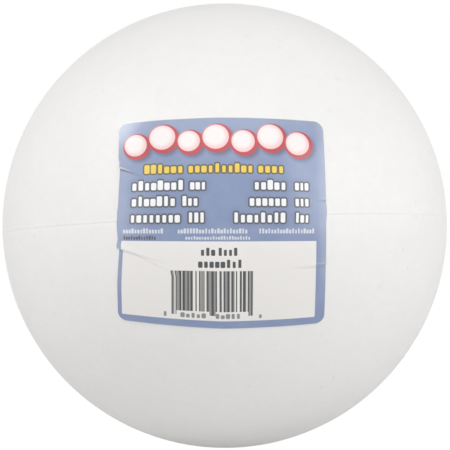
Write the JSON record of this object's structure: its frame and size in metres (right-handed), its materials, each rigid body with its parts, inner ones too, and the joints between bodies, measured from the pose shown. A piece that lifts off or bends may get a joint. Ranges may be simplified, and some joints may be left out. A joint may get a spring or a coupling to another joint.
{
  "type": "polystyrene ball",
  "caption": "Solid moulded foam craft ball with a fine parting line round its middle and a square printed paper label stuck on its front.",
  "frame": {"origin": "centre of the ball", "axes": "+Z along the mould's draw axis, square to the plane of the parting line; the label is on the -Y side, +X to its right"},
  "size_m": [0.1526, 0.153, 0.1524],
  "materials": {
    "foam": "white expanded polystyrene, matt, with a fine network of bead joints",
    "label_paper": "coated self-adhesive paper, blue print with a white panel, slight gloss"
  },
  "bodies": {
    "root": {"foam_ball": "foam", "label": "label_paper"}
  },
  "joints": []
}
